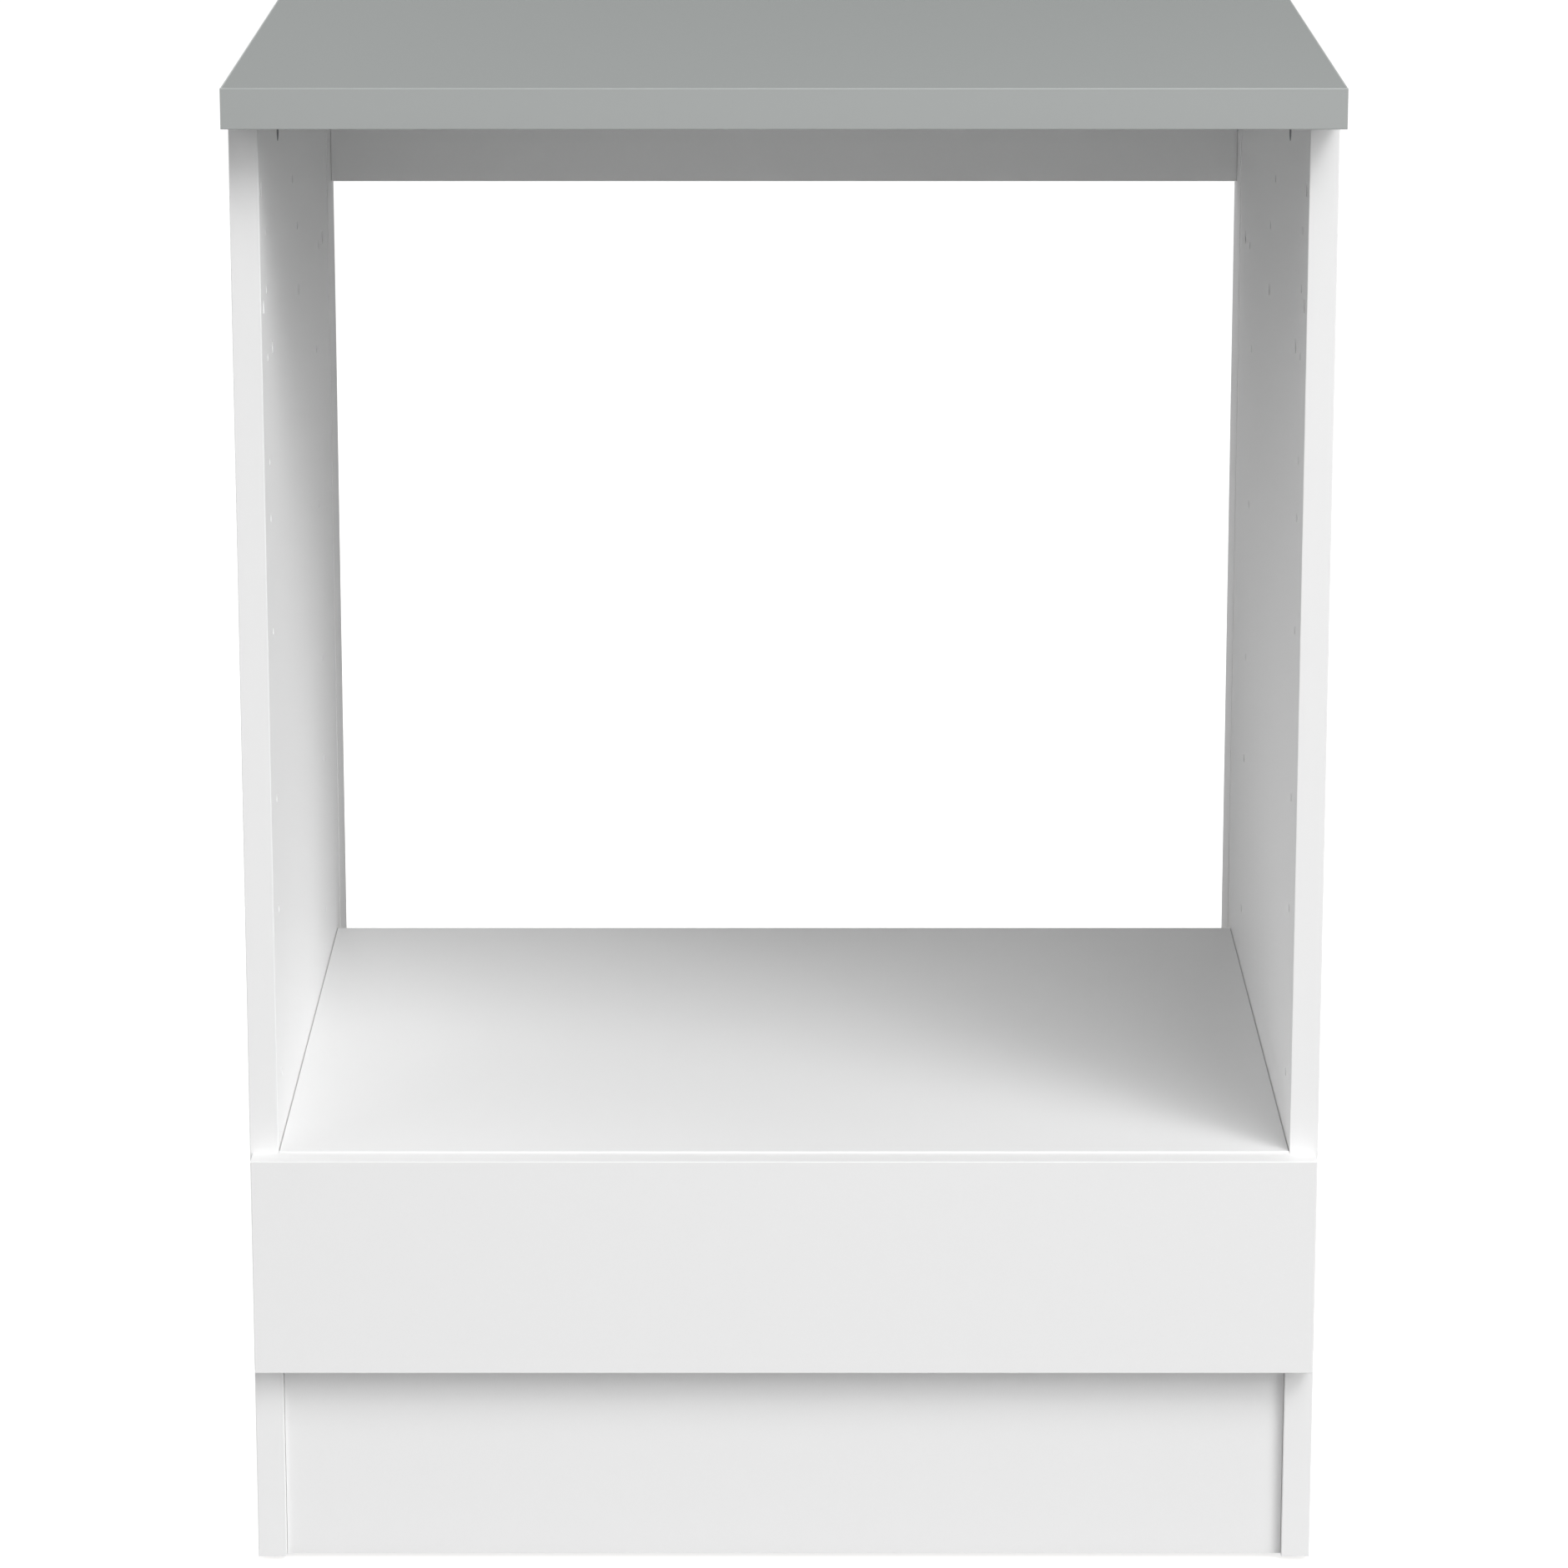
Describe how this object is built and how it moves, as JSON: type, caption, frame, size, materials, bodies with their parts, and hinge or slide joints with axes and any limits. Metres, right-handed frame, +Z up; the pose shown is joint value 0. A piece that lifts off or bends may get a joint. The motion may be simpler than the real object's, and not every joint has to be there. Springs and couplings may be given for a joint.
{
  "type": "oven base cabinet",
  "caption": "White flat-pack oven base cabinet with a grey worktop, an open-backed oven niche, a fixed front panel and a plinth between sides that reach the floor.",
  "frame": {"origin": "on the floor, under the middle of the worktop", "axes": "+Z up, -Y towards the front, +X to the right of a person facing the front"},
  "size_m": [0.6, 0.6, 0.85],
  "materials": {
    "white_melamine_board": "white melamine-faced chipboard, 16 mm, satin, raw chipboard on hidden edges",
    "white_edging": "white ABS edging, 1 mm, satin, edges rounded",
    "grey_worktop_board": "plain grey laminated chipboard worktop, 22 mm, fine matt texture",
    "grey_edging": "grey ABS edging, 1 mm, matt",
    "zinc_cam": "die-cast zinc, dull",
    "steel_bolt": "zinc-plated turned steel",
    "beech_dowel": "plain beech, fluted",
    "glide_plastic": "white moulded plastic on a steel nail"
  },
  "bodies": {
    "cabinet": {"left_side_panel": "white_melamine_board", "right_side_panel": "white_melamine_board", "oven_shelf": "white_melamine_board", "front_panel": "white_melamine_board", "plinth_board": "white_melamine_board", "rear_rail": "white_melamine_board", "left_side_edging": "white_edging", "right_side_edging": "white_edging", "shelf_edging": "white_edging", "rail_edging": "white_edging", "panel_top_edging": "white_edging", "panel_bottom_edging": "white_edging", "panel_left_edging": "white_edging", "panel_right_edging": "white_edging", "worktop": "grey_worktop_board", "worktop_front_edging": "grey_edging", "worktop_left_edging": "grey_edging", "worktop_right_edging": "grey_edging", "shelf_cams": "zinc_cam", "rail_cams": "zinc_cam", "plinth_cams": "zinc_cam", "panel_cams": "zinc_cam", "worktop_cam_bolts": "steel_bolt", "shelf_cam_bolts": "steel_bolt", "rail_cam_bolts": "steel_bolt", "plinth_cam_bolts": "steel_bolt", "panel_cam_bolts": "steel_bolt", "worktop_dowels": "beech_dowel", "shelf_dowels": "beech_dowel", "rail_dowels": "beech_dowel", "plinth_dowels": "beech_dowel", "panel_dowels": "beech_dowel", "floor_glides": "glide_plastic"},
    "front_left_cam": {"worktop_cam_front_left": "zinc_cam"},
    "front_right_cam": {"worktop_cam_front_right": "zinc_cam"},
    "rear_left_cam": {"worktop_cam_rear_left": "zinc_cam"},
    "rear_right_cam": {"worktop_cam_rear_right": "zinc_cam"}
  },
  "joints": [
    {"name": "front_left_cam_turn", "type": "hinge", "parent": "cabinet", "child": "front_left_cam", "pos_m": [-0.284, -0.123, 0.804], "axis": [1, 0, 0], "range_deg": [0, 180]},
    {"name": "front_right_cam_turn", "type": "hinge", "parent": "cabinet", "child": "front_right_cam", "pos_m": [0.284, -0.123, 0.804], "axis": [-1, 0, 0], "range_deg": [0, 180]},
    {"name": "rear_left_cam_turn", "type": "hinge", "parent": "cabinet", "child": "rear_left_cam", "pos_m": [-0.284, 0.165, 0.804], "axis": [1, 0, 0], "range_deg": [0, 180]},
    {"name": "rear_right_cam_turn", "type": "hinge", "parent": "cabinet", "child": "rear_right_cam", "pos_m": [0.284, 0.165, 0.804], "axis": [-1, 0, 0], "range_deg": [0, 180]}
  ]
}
